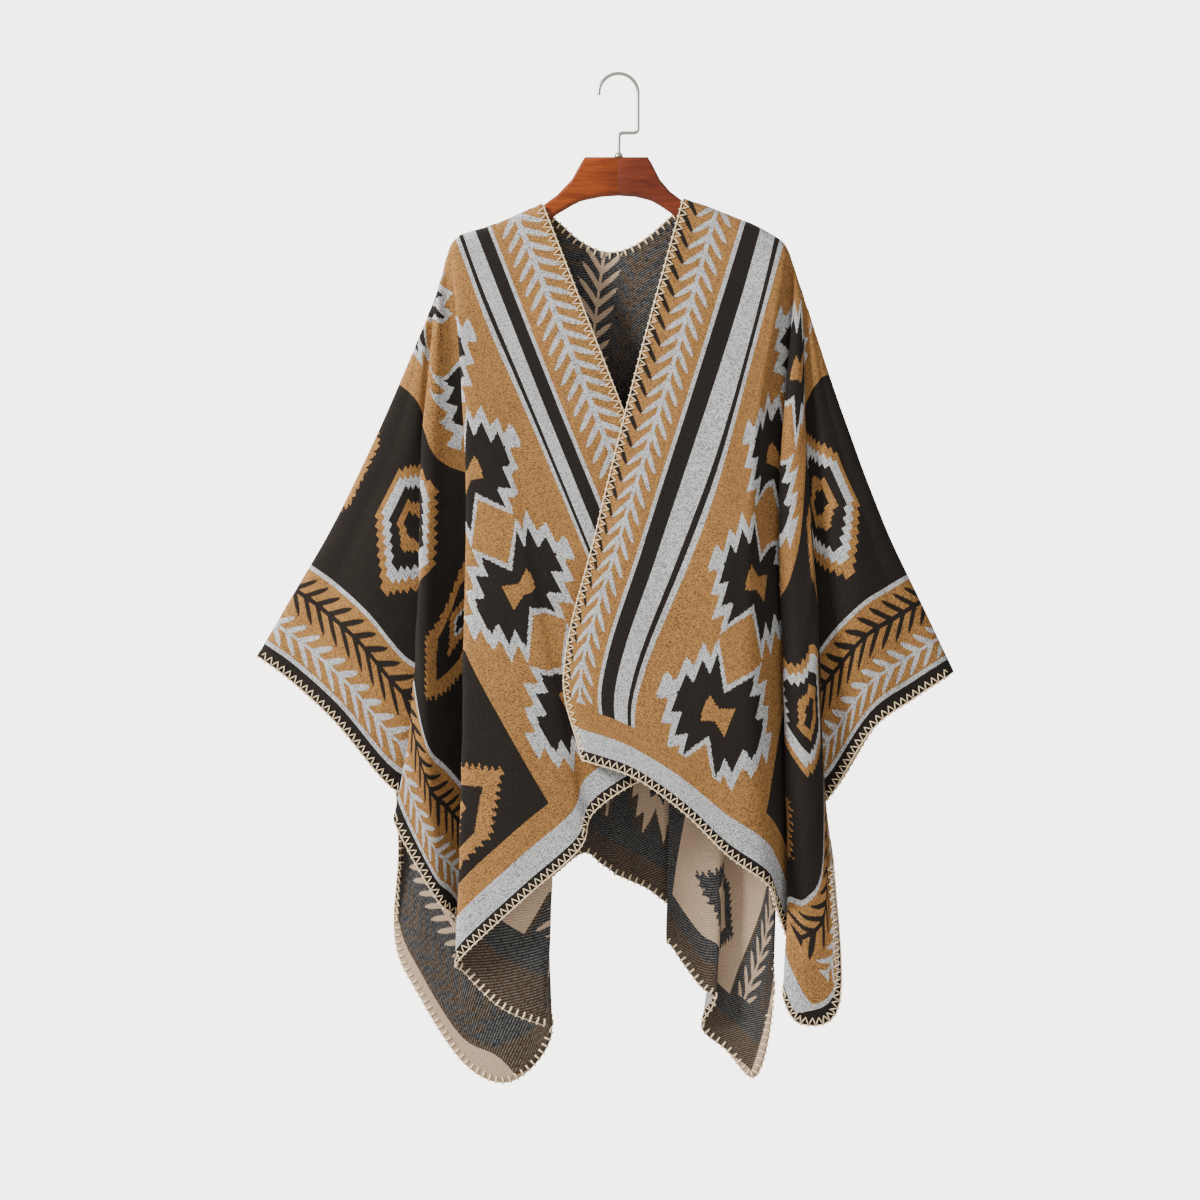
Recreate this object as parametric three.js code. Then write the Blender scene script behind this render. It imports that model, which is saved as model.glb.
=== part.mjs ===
// Open poncho cape of one woven cloth, hanging on a wooden hanger with a metal hook.
// Millimetres, +Z up, the front faces -Y. The origin is inside the top of the hook, where the rail goes.
import * as THREE from "three";
import { mergeVertices } from "three/addons/utils/BufferGeometryUtils.js";

// Driving dimensions
const CLOTH_THICKNESS = 2.0;
const SHOULDER_RADIUS = 8.0;
const SEAM_GAP = 0.3;
const MOST_INSIDE_REACH = 4;
const ROWS_DOWN = 19;
const COLUMNS_PER_FOLD = 2;
const STATION_AT = [0, 0.3, 0.6, 0.85, 1];

const WIRE_DIAMETER = 4.2;
const HOOK_INSIDE_RADIUS = 21.0;
const HOOK_JOG_HEIGHT = -68;
const HOOK_CORNER_RADIUS = 5;
const WIRE_SIDES = 10;
const STEM_X = 0.5;
const STEM_BOTTOM = -95.8;
const COLLAR_RADIUS = 5.2;
const COLLAR_HEIGHT = 4.5;
const HEAD_TOP = -96.4;
const CORNER_STEPS = 4;
const EDGE_FLAT = 0.4;

// Each panel hangs in fold lines from the shoulder down to its edge. A row is one fold line. It starts at
// (topX, topZ) on the shoulder, passes x1, x2 and x3 at the stations above, at depths y1 and y2, and ends at
// (endX, endZ) at depth endY. Negative depths are in front of the hanger.
const FOLD_COLUMNS = ["line", "topX", "topZ", "x1", "y1", "x2", "y2", "x3", "endX", "endZ", "endY"];

const LEFT_FRONT_FOLDS = [
  ["slit_edge", -90, -152, -16, -20, 58, -26, 119, 157, -786, -28],
  ["neck_band", -137, -174, -71, -22, -4, -30, 51, 84, -811, -32],
  ["hem_shows", -167, -183, -111, -24, -53, -33, -6, 22, -831, -36],
  ["hem_dips", -180, -187, -136, -27, -91, -37, -53, -31, -868, -40],
  ["hem_turns", -186, -189, -144, -29, -103, -42, -68, -46, -908, -50],
  ["front_belly", -190, -193, -166, -32, -142, -47, -122, -110, -965, -56],
  ["fold1_edge", -194, -197, -178, -32, -177, -46, -179, -185, -1036, -54],
  ["fold1_back", -198, -203, -174, -25, -174, -36, -177, -179, -1052, -44],
  ["inner_layer", -200, -210, -145, -20, -124, -29, -129, -139, -1093, -36],
  ["fold2_edge", -203, -218, -112, -17, -84, -24, -86, -91, -1115, -28],
  ["fold2_back", -204, -222, -112, -10, -84, -15, -87, -93, -1110, -21],
  ["front_corner", -205, -227, -170, -7, -160, -9, -149, -139, -1080, -18],
  ["third_layer", -207, -235, -200, -14, -203, -24, -198, -189, -993, -32],
  ["bulge", -210, -244, -219, -24, -224, -40, -220, -212, -967, -46],
  ["fold3_edge", -213, -256, -230, -22, -233, -36, -243, -259, -882, -40],
  ["fold3_back", -216, -264, -225, -15, -229, -27, -239, -252, -873, -32],
  ["fold4_front", -218, -269, -205, -8, -192, -10, -200, -221, -858, -13],
  ["fold4_back", -220, -275, -205, -3, -192, -4, -200, -220, -850, -6],
  ["sleeve_inner", -223, -281, -229, -7, -237, -12, -251, -265, -840, -16],
  ["sleeve_crease", -225, -287, -243, -12, -278, -19, -310, -331, -763, -17],
  ["sleeve_low", -227, -293, -259, -9, -310, -13, -358, -387, -712, -9],
  ["ridge", -229, -297, -279, 0, -335, 0, -391, -425, -685, 0],
];

const RIGHT_FRONT_FOLDS = [
  ["slit_edge", 77, -146, 23, -26, -26, -40, -63, -42, -804, -46],
  ["leaf_band", 120, -162, 63, -30, 2, -46, -43, -30, -808, -54],
  ["stripe_band", 157, -176, 100, -32, 46, -49, 6, 21, -826, -58],
  ["star_inner", 180, -188, 133, -34, 96, -52, 69, 77, -866, -62],
  ["star_outer", 193, -197, 153, -35, 133, -54, 123, 126, -914, -64],
  ["fold1_edge", 198, -204, 163, -34, 157, -52, 163, 171, -947, -60],
  ["valley_side", 201, -210, 175, -21, 181, -30, 186, 184, -978, -34],
  ["valley_deep", 203, -216, 194, -9, 202, -11, 205, 200, -1019, -14],
  ["valley_turn", 205, -222, 204, -5, 218, -5, 223, 218, -1046, -6],
  ["valley_front", 207, -228, 206, -11, 219, -12, 224, 219, -1056, -14],
  ["strip_edge", 209, -234, 190, -20, 194, -29, 198, 193, -1077, -31],
  ["strip_corner", 211, -241, 199, -27, 210, -41, 218, 213, -1113, -42],
  ["strip_outer", 213, -248, 212, -27, 225, -41, 241, 258, -1087, -38],
  ["strip_right", 216, -255, 220, -20, 233, -30, 238, 247, -904, -32],
  ["fold3_hidden", 218, -262, 219, -12, 225, -18, 224, 227, -875, -20],
  ["sleeve_inner", 220, -269, 232, -10, 244, -15, 251, 251, -845, -16],
  ["sleeve_crease", 221, -274, 243, -13, 276, -20, 291, 297, -771, -18],
  ["sleeve_low", 223, -277, 253, -9, 299, -13, 335, 351, -732, -9],
  ["ridge", 224, -282, 267, 0, 315, 0, 365, 395, -704, 0],
];

const BACK_FOLDS = [
  ["ridge_left", -229, -297, -279, 0, -335, 0, -391, -425, -685, 0],
  ["sleeve_low", -227, -293, -259, 9, -306, 13, -345, -374, -704, 10],
  ["sleeve_mid", -225, -287, -243, 13, -271, 28, -297, -315, -770, 32],
  ["sleeve_inner", -223, -281, -229, 9, -241, 14, -254, -268, -824, 16],
  ["side_hidden", -220, -274, -225, 15, -239, 26, -252, -260, -911, 32],
  ["side_shows", -217, -266, -219, 20, -231, 35, -250, -266, -1025, 44],
  ["side_lower", -213, -256, -212, 22, -221, 34, -231, -238, -1089, 40],
  ["corner_side", -210, -244, -203, 20, -196, 32, -191, -186, -1169, 40],
  ["back_corner", -207, -235, -191, 22, -165, 34, -149, -138, -1195, 42],
  ["corner_hem", -205, -227, -179, 26, -133, 39, -110, -99, -1173, 46],
  ["fold_edge", -203, -219, -167, 29, -106, 43, -86, -79, -1132, 48],
  ["fold_back", -201, -213, -168, 36, -116, 52, -100, -97, -1099, 57],
  ["inner_turn", -199, -207, -178, 41, -166, 58, -163, -158, -1036, 63],
  ["inner_behind", -197, -201, -174, 46, -165, 66, -162, -156, -1010, 71],
  ["inner_return", -189, -192, -149, 44, -112, 67, -96, -85, -956, 71],
  ["hem_left", -165, -183, -116, 36, -80, 56, -58, -43, -922, 60],
  ["hem_left_mid", -130, -170, -83, 28, -50, 44, -31, -21, -934, 50],
  ["shoulder_left", -101, -157, -64, 22, -35, 34, -18, -9, -941, 44],
  ["neck_left", -90, -158, -52, 20, -28, 30, -12, -3, -946, 41],
  ["neck_curve", -69, -174, -38, 20, -18, 30, -5, 5, -949, 39],
  ["neck_low_left", -43, -196, -19, 22, -5, 32, 5, 16, -954, 40],
  ["neck_low", -9, -208, 4, 25, 14, 36, 21, 29, -960, 44],
  ["neck_low_right", 29, -194, 31, 22, 33, 33, 37, 42, -968, 43],
  ["neck_right", 77, -153, 59, 20, 49, 32, 50, 55, -978, 43],
  ["shoulder_right", 88, -150, 70, 22, 62, 35, 64, 68, -984, 45],
  ["hidden_out", 122, -162, 100, 29, 120, 58, 130, 130, -1001, 66],
  ["hidden_turn", 139, -169, 103, 24, 122, 50, 131, 131, -1006, 58],
  ["fold5_edge", 153, -174, 96, 21, 75, 31, 65, 63, -1022, 38],
  ["fold5_front", 162, -178, 99, 16, 78, 24, 68, 66, -1034, 30],
  ["fold5_mid", 180, -188, 120, 16, 103, 21, 98, 97, -1077, 27],
  ["fold5_right", 191, -195, 144, 16, 127, 22, 122, 116, -1094, 27],
  ["valley_back", 197, -202, 155, 26, 136, 38, 122, 100, -1129, 44],
  ["valley_out", 200, -209, 169, 27, 150, 40, 138, 129, -1156, 48],
  ["right_corner", 204, -220, 184, 23, 171, 33, 169, 165, -1187, 42],
  ["side_right", 209, -234, 197, 20, 188, 29, 187, 185, -1089, 38],
  ["side_hidden_low", 212, -244, 206, 23, 201, 38, 192, 176, -978, 47],
  ["side_hidden_up", 216, -255, 220, 25, 226, 40, 225, 217, -897, 46],
  ["curl_right", 218, -262, 232, 20, 251, 31, 258, 263, -838, 34],
  ["sleeve_mid_right", 220, -269, 244, 14, 281, 22, 298, 305, -768, 22],
  ["sleeve_low_right", 223, -277, 256, 9, 298, 13, 332, 347, -725, 10],
  ["ridge_right", 224, -282, 267, 0, 315, 0, 365, 395, -704, 0],
];

// The scooped back neck hangs this far behind the hanger's middle, by fold line
const NECK_DEPTHS = {
  neck_left: 8.6,
  neck_curve: 11,
  neck_low_left: 13,
  neck_low: 15,
  neck_low_right: 12,
  neck_right: 8.6,
};

// The two hanger halves, a row per section: its x, the top and the bottom of the wood, and half its thickness
const SECTION_COLUMNS = ["x", "top", "bottom", "half"];
const LEFT_WOOD = [
  [-193, -201, -208, 3.0],
  [-189, -197.5, -211, 6.0],
  [-165, -186.4, -207, 6.4],
  [-140, -177.6, -200, 6.4],
  [-112, -165.8, -190, 6.4],
  [-91, -155, -178, 6.4],
  [-72, -141, -164, 6.4],
  [-55, -123, -154, 6.4],
  [-45, -105, -149, 6.4],
  [-39.5, HEAD_TOP, -147.5, 6.4],
  [-20, HEAD_TOP, -143.5, 6.4],
  [0.35, HEAD_TOP, -142.2, 6.4],
];
const RIGHT_WOOD = [
  [0.65, HEAD_TOP, -142.2, 6.4],
  [20, HEAD_TOP, -143.5, 6.4],
  [34.5, HEAD_TOP, -147, 6.4],
  [40, -105, -149, 6.4],
  [49, -123, -154, 6.4],
  [61, -137, -162, 6.4],
  [77, -149, -175, 6.4],
  [105, -159.5, -185, 6.4],
  [140, -172.5, -197, 6.4],
  [165, -184.5, -207, 6.4],
  [188, -197, -215, 6.0],
  [194, -204, -212, 3.0],
];

// A table's rows as objects, named by its columns
function named(columns, rows) {
  return rows.map((row) => Object.fromEntries(columns.map((column, i) => [column, row[i]])));
}

// The Catmull-Rom value at t through four neighbours
function blend(a, b, c, d, t) {
  return 0.5 * (2 * b + (c - a) * t + (2 * a - 5 * b + 4 * c - d) * t * t + (3 * b - a - 3 * c + d) * t * t * t);
}

// A smooth value through the stations of one fold line
function alongStations(values, t) {
  let k = 0;
  while (k < STATION_AT.length - 2 && t > STATION_AT[k + 1]) k += 1;
  const span = STATION_AT[k + 1] - STATION_AT[k];
  const local = (t - STATION_AT[k]) / span;
  const slope = (i) => {
    const low = Math.max(i - 1, 0);
    const high = Math.min(i + 1, values.length - 1);
    return (values[high] - values[low]) / (STATION_AT[high] - STATION_AT[low]);
  };
  const h = local * local * (3 - 2 * local);
  const start = local * (1 - local) * (1 - local) * span * slope(k);
  const end = -local * local * (1 - local) * span * slope(k + 1);
  return values[k] * (1 - h) + values[k + 1] * h + start + end;
}

// The point of one fold line at t, from the shoulder at 0 to the cloth's edge at 1
function foldPoint(fold, t, side) {
  const x = alongStations([fold.topX, fold.x1, fold.x2, fold.x3, fold.endX], t);
  const z = fold.topZ + (fold.endZ - fold.topZ) * t;
  const nearEnd = fold.y2 + (fold.endY - fold.y2) * 0.6;
  const hang = t < STATION_AT[1] ? Math.pow(t / STATION_AT[1], 0.6) : 1;
  const depths = [fold.y1, fold.y1, fold.y2, nearEnd, fold.endY];
  const fall = fold.topZ - z;
  const wrap = fall < SHOULDER_RADIUS ? Math.sqrt(1 - (1 - fall / SHOULDER_RADIUS) ** 2) : 1;
  const isRidge = fold.y1 === 0;
  const startDepth = NECK_DEPTHS[fold.line] ?? side * SHOULDER_RADIUS * wrap;
  const over = isRidge ? 0 : startDepth * (1 - hang);
  const y = over + (isRidge ? 0 : hang * alongStations(depths, t));
  return new THREE.Vector3(x, y, z);
}

// Rows of points down the cloth, closer together over the shoulder
function rowPlaces() {
  const places = [0, 0.004, 0.012, 0.03];
  for (let i = 1; i <= ROWS_DOWN; i += 1) places.push(0.03 + (0.97 * i) / ROWS_DOWN);
  return places;
}

// A closed cloth wall through the fold lines. side is -1 for a front panel and 1 for the back.
function clothWall(foldRows, side) {
  const folds = named(FOLD_COLUMNS, foldRows);
  const places = rowPlaces();
  const columns = [];
  for (let i = 0; i < folds.length - 1; i += 1) {
    const parts = i === folds.length - 2 ? COLUMNS_PER_FOLD + 1 : COLUMNS_PER_FOLD;
    for (let k = 0; k < parts; k += 1) columns.push([i, k / COLUMNS_PER_FOLD]);
  }
  const last = folds.length - 1;
  const middle = columns.map(([i, f]) =>
    places.map((t) => {
      const around = [Math.max(i - 1, 0), i, Math.min(i + 1, last), Math.min(i + 2, last)];
      const p = around.map((n) => foldPoint(folds[n], t, side));
      return new THREE.Vector3(
        blend(p[0].x, p[1].x, p[2].x, p[3].x, f),
        blend(p[0].y, p[1].y, p[2].y, p[3].y, f),
        blend(p[0].z, p[1].z, p[2].z, p[3].z, f)
      );
    })
  );
  return wallFromGrid(middle, CLOTH_THICKNESS, side);
}

// A closed wall of even thickness around a grid of middle points, kept on its own side of the hanger's middle
function wallFromGrid(middle, thickness, side) {
  const across = middle.length;
  const down = middle[0].length;
  const step = (i, j) => middle[i + 1][j].clone().sub(middle[i][j]).normalize();
  const points = [];
  for (const way of [1, -1]) {
    for (let i = 0; i < across; i += 1) {
      for (let j = 0; j < down; j += 1) {
        const arriving = step(Math.max(i - 1, 0), j);
        const leaving = step(Math.min(i, across - 2), j);
        const fall = middle[i][Math.min(j + 1, down - 1)].clone().sub(middle[i][Math.max(j - 1, 0)]);
        const normal = arriving.clone().add(leaving).cross(fall).normalize();
        const halfTurn = Math.acos(Math.min(1, Math.max(-1, arriving.dot(leaving)))) / 2;
        const isInside = leaving.clone().sub(arriving).dot(normal) * way > 0;
        const reach = isInside ? Math.min(1 / Math.cos(halfTurn), MOST_INSIDE_REACH) : 1;
        const p = middle[i][j].clone().addScaledVector(normal, (way * reach * thickness) / 2);
        points.push(p.x, side * Math.max(side * p.y, SEAM_GAP / 2), p.z);
      }
    }
  }
  const at = (sheet, i, j) => sheet * across * down + i * down + j;
  const faces = [];
  const quad = (a, b, c, d) => faces.push(a, b, c, a, c, d);
  for (let i = 0; i < across - 1; i += 1) {
    for (let j = 0; j < down - 1; j += 1) {
      quad(at(0, i, j), at(0, i + 1, j), at(0, i + 1, j + 1), at(0, i, j + 1));
      quad(at(1, i, j), at(1, i, j + 1), at(1, i + 1, j + 1), at(1, i + 1, j));
    }
    quad(at(0, i, 0), at(1, i, 0), at(1, i + 1, 0), at(0, i + 1, 0));
    quad(at(0, i, down - 1), at(0, i + 1, down - 1), at(1, i + 1, down - 1), at(1, i, down - 1));
  }
  for (let j = 0; j < down - 1; j += 1) {
    quad(at(0, 0, j), at(0, 0, j + 1), at(1, 0, j + 1), at(1, 0, j));
    quad(at(0, across - 1, j), at(1, across - 1, j), at(1, across - 1, j + 1), at(0, across - 1, j + 1));
  }
  return closedGeometry(points, faces);
}

// A geometry from points and faces, turned the right way out
function closedGeometry(points, faces) {
  let volume = 0;
  const corner = (n) => new THREE.Vector3(points[3 * n], points[3 * n + 1], points[3 * n + 2]);
  for (let f = 0; f < faces.length; f += 3) {
    volume += corner(faces[f]).dot(corner(faces[f + 1]).cross(corner(faces[f + 2])));
  }
  const outward = volume > 0 ? faces : faces.slice().reverse();
  const geometry = new THREE.BufferGeometry();
  geometry.setAttribute("position", new THREE.Float32BufferAttribute(points, 3));
  geometry.setIndex(outward);
  return mergeVertices(geometry, 1e-4);
}

// A hanger half: rounded sections in a row, joined into one solid
function woodHalf(sectionRows) {
  const sections = named(SECTION_COLUMNS, sectionRows);
  const points = [];
  const ringSize = 4 * (CORNER_STEPS + 1);
  for (const section of sections) {
    const radius = Math.min(section.half, (section.top - section.bottom) / 2) - EDGE_FLAT;
    for (let side = 0; side < 4; side += 1) {
      const right = side === 0 || side === 3 ? 1 : -1;
      const up = side < 2 ? 1 : -1;
      const centreY = right * (section.half - radius);
      const centreZ = up > 0 ? section.top - radius : section.bottom + radius;
      for (let k = 0; k <= CORNER_STEPS; k += 1) {
        const angle = (side + k / CORNER_STEPS) * (Math.PI / 2);
        points.push(section.x, centreY + radius * Math.cos(angle), centreZ + radius * Math.sin(angle));
      }
    }
  }
  const faces = [];
  for (let s = 0; s < sections.length - 1; s += 1) {
    for (let k = 0; k < ringSize; k += 1) {
      const next = (k + 1) % ringSize;
      const a = s * ringSize + k;
      const b = s * ringSize + next;
      faces.push(a, b, b + ringSize, a, b + ringSize, a + ringSize);
    }
  }
  const lastRing = (sections.length - 1) * ringSize;
  for (let k = 1; k < ringSize - 1; k += 1) {
    faces.push(0, k + 1, k);
    faces.push(lastRing, lastRing + k, lastRing + k + 1);
  }
  return closedGeometry(points, faces);
}

// The hook's wire: round the top, down the leg, across the jog and down the stem
function hookGeometry() {
  const radius = HOOK_INSIDE_RADIUS + WIRE_DIAMETER / 2;
  const corner = HOOK_CORNER_RADIUS;
  const points = [];
  const arc = (cx, cz, r, from, to, steps) => {
    for (let k = 0; k <= steps; k += 1) {
      const angle = from + ((to - from) * k) / steps;
      points.push(new THREE.Vector3(cx + r * Math.cos(angle), 0, cz + r * Math.sin(angle)));
    }
  };
  arc(0, -HOOK_INSIDE_RADIUS, radius, Math.PI * 1.03, 0, 18);
  arc(radius - corner, HOOK_JOG_HEIGHT + corner, corner, 0, -Math.PI / 2, 4);
  arc(STEM_X + corner, HOOK_JOG_HEIGHT - corner, corner, Math.PI / 2, Math.PI, 4);
  points.push(new THREE.Vector3(STEM_X, 0, STEM_BOTTOM));
  return tubeAlong(points, WIRE_DIAMETER / 2, WIRE_SIDES);
}

// A closed round wire through points in the XZ plane
function tubeAlong(path, radius, sides) {
  const points = [];
  const faces = [];
  for (let k = 0; k < path.length; k += 1) {
    const before = path[Math.max(k - 1, 0)];
    const after = path[Math.min(k + 1, path.length - 1)];
    const along = after.clone().sub(before).normalize();
    const outward = new THREE.Vector3(along.z, 0, -along.x);
    for (let s = 0; s < sides; s += 1) {
      const angle = (2 * Math.PI * s) / sides;
      const p = path[k].clone().addScaledVector(outward, radius * Math.cos(angle));
      points.push(p.x, radius * Math.sin(angle), p.z);
    }
  }
  for (let k = 0; k < path.length - 1; k += 1) {
    for (let s = 0; s < sides; s += 1) {
      const a = k * sides + s;
      const b = k * sides + ((s + 1) % sides);
      faces.push(a, b, b + sides, a, b + sides, a + sides);
    }
  }
  const last = (path.length - 1) * sides;
  for (let s = 1; s < sides - 1; s += 1) {
    faces.push(0, s + 1, s);
    faces.push(last, last + s, last + s + 1);
  }
  return closedGeometry(points, faces);
}

// The collar that closes the hole the stem goes into
function collarGeometry() {
  const inner = WIRE_DIAMETER / 2 + SEAM_GAP;
  const bottom = HEAD_TOP + SEAM_GAP;
  const profile = [
    [inner, bottom],
    [COLLAR_RADIUS, bottom],
    [COLLAR_RADIUS, bottom + COLLAR_HEIGHT * 0.6],
    [COLLAR_RADIUS - 1.6, bottom + COLLAR_HEIGHT],
    [inner, bottom + COLLAR_HEIGHT],
    [inner, bottom],
  ];
  const geometry = new THREE.LatheGeometry(profile.map(([r, z]) => new THREE.Vector2(r, z)), 20);
  geometry.rotateX(Math.PI / 2);
  geometry.translate(STEM_X, 0, 0);
  return geometry;
}

const cloth = new THREE.MeshStandardMaterial({ color: 0x8a6a42, roughness: 0.95, metalness: 0 });
const lightWood = new THREE.MeshStandardMaterial({ color: 0x9c4a1e, roughness: 0.35, metalness: 0 });
const darkWood = new THREE.MeshStandardMaterial({ color: 0x6e3219, roughness: 0.35, metalness: 0 });
const satinMetal = new THREE.MeshStandardMaterial({ color: 0xc8c6be, roughness: 0.3, metalness: 1 });

const group = new THREE.Group();

function addPiece(name, geometry, material) {
  const mesh = new THREE.Mesh(geometry, material);
  mesh.name = name;
  group.add(mesh);
}

addPiece("hook", hookGeometry(), satinMetal);
addPiece("hook_collar", collarGeometry(), satinMetal);
addPiece("hanger_left", woodHalf(LEFT_WOOD), lightWood);
addPiece("hanger_right", woodHalf(RIGHT_WOOD), darkWood);
addPiece("cloth_left_front", clothWall(LEFT_FRONT_FOLDS, -1), cloth);
addPiece("cloth_right_front", clothWall(RIGHT_FRONT_FOLDS, -1), cloth);
addPiece("cloth_back", clothWall(BACK_FOLDS, 1), cloth);

export default group;
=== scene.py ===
"""Open poncho cape of one woven cloth on a wooden hanger with a metal hook. Metres, +Z up, front -Y."""

from bisect import bisect_right
from math import cos, floor, pi, sin, sqrt

import bpy
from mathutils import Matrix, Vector, noise
from mathutils.bvhtree import BVHTree


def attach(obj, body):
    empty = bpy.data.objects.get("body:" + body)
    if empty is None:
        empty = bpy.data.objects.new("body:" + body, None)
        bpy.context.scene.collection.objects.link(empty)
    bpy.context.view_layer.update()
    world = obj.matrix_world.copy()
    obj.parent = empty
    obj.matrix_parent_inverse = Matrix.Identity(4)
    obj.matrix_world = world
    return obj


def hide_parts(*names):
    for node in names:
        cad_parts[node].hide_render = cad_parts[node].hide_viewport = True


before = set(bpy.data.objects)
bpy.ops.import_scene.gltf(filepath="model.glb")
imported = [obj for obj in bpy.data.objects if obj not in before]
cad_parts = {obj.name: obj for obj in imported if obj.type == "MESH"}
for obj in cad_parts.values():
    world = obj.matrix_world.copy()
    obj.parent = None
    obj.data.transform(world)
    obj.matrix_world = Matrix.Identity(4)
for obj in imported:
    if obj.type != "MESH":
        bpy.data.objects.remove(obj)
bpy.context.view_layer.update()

# Hook: a round steel wire, 4.2 mm thick, bent to a hook 42 mm across inside and jogged back to the
# hanger's middle, where its stem goes down into the head. It is plated in satin nickel.
inner_radius, wire_radius, jog_radius = 0.021, 0.0021, 0.005
hook_radius = inner_radius + wire_radius
stem_x, stem_bottom = 0.0005, -0.0958
hook_line = []
for centre_x, centre_z, radius, start, end, steps in [
    (0, -inner_radius, hook_radius, pi * 1.03, 0, 60),
    (hook_radius - jog_radius, -0.063, jog_radius, 0, -pi / 2, 12),
    (stem_x + jog_radius, -0.073, jog_radius, pi / 2, pi, 12),
]:
    for k in range(steps + 1):
        angle = start + (end - start) * k / steps
        hook_line.append((centre_x + radius * cos(angle), 0, centre_z + radius * sin(angle), 1))
hook_line.append((stem_x, 0, stem_bottom, 1))
hook_curve = bpy.data.curves.new("hook_wire", "CURVE")
hook_curve.dimensions = "3D"
hook_curve.bevel_depth = wire_radius
hook_curve.bevel_resolution = 6
hook_curve.use_fill_caps = True
spline = hook_curve.splines.new("POLY")
spline.points.add(len(hook_line) - 1)
for point, place in zip(spline.points, hook_line):
    point.co = place
hook = bpy.data.objects.new("hook_wire", hook_curve)
bpy.context.collection.objects.link(hook)


def select_only(piece):
    """Make piece the one selected and active object."""
    bpy.ops.object.select_all(action="DESELECT")
    piece.select_set(True)
    bpy.context.view_layer.objects.active = piece


select_only(hook)
bpy.ops.object.convert(target="MESH")
hook = bpy.context.object
bpy.ops.object.shade_smooth_by_angle(angle=0.7)

nickel = bpy.data.materials.new("satin_nickel")
nickel.use_nodes = True
metal = nickel.node_tree.nodes["Principled BSDF"]
metal.inputs["Base Color"].default_value = (0.5, 0.49, 0.45, 1)
metal.inputs["Metallic"].default_value = 1
brush = nickel.node_tree.nodes.new("ShaderNodeTexNoise")
brush.inputs["Scale"].default_value = 900
brush.inputs["Detail"].default_value = 3
dull = nickel.node_tree.nodes.new("ShaderNodeMapRange")
dull.inputs["To Min"].default_value = 0.24
dull.inputs["To Max"].default_value = 0.38
nickel.node_tree.links.new(brush.outputs["Fac"], dull.inputs["Value"])
nickel.node_tree.links.new(dull.outputs["Result"], metal.inputs["Roughness"])
hook.data.materials.append(nickel)
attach(hook, "root")
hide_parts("hook")

# Collar: the turned ring that closes the hole the stem goes into, of the hook's satin nickel. It is
# 10.4 mm wide and 4.5 mm high, narrows towards its top and sits on the hanger's head.
collar_bottom, collar_height, top_share = -0.0961, 0.0045, 0.72
bpy.ops.object.select_all(action="DESELECT")
bpy.ops.mesh.primitive_cylinder_add(
    vertices=48, radius=0.0052, depth=collar_height, location=(0, 0, 0)
)
collar = bpy.context.object
collar.name = "hook_collar_ring"
for vertex in collar.data.vertices:
    if vertex.co.z > 0:
        vertex.co.x *= top_share
        vertex.co.y *= top_share
    vertex.co.x += stem_x
    vertex.co.z += collar_bottom + collar_height / 2
soften = collar.modifiers.new("soften", "BEVEL")
soften.width = 0.0007
soften.segments = 3
bpy.ops.object.modifier_apply(modifier="soften")
bpy.ops.object.shade_smooth_by_angle(angle=0.6)
collar.data.materials.append(nickel)
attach(collar, "root")
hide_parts("hook_collar")

# Hanger: two wooden halves, 12.8 mm thick and rounded all over, glued together under the hook, where
# they leave a fine groove. Their clear glossy lacquer is darker on the right half.

# a row is one section: its x, the top and the bottom of the wood, and half its thickness, in metres
head_top = -0.0964
groove = [0.0005, head_top - 0.0003, -0.1419, 0.0061]
left_sections = [
    [-0.193, -0.201, -0.208, 0.003],
    [-0.189, -0.1975, -0.211, 0.006],
    [-0.165, -0.1864, -0.207, 0.0064],
    [-0.140, -0.1776, -0.200, 0.0064],
    [-0.112, -0.1658, -0.190, 0.0064],
    [-0.091, -0.155, -0.178, 0.0064],
    [-0.072, -0.141, -0.164, 0.0064],
    [-0.055, -0.123, -0.154, 0.0064],
    [-0.045, -0.105, -0.149, 0.0064],
    [-0.0395, head_top, -0.1475, 0.0064],
    [-0.020, head_top, -0.1435, 0.0064],
    [-0.0002, head_top, -0.1422, 0.0064],
    groove,
]
right_sections = [
    groove,
    [0.0012, head_top, -0.1422, 0.0064],
    [0.020, head_top, -0.1435, 0.0064],
    [0.0345, head_top, -0.147, 0.0064],
    [0.040, -0.105, -0.149, 0.0064],
    [0.049, -0.123, -0.154, 0.0064],
    [0.061, -0.137, -0.162, 0.0064],
    [0.077, -0.149, -0.175, 0.0064],
    [0.105, -0.1595, -0.185, 0.0064],
    [0.140, -0.1725, -0.197, 0.0064],
    [0.165, -0.1845, -0.207, 0.0064],
    [0.188, -0.197, -0.215, 0.006],
    [0.194, -0.204, -0.212, 0.003],
]


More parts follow.
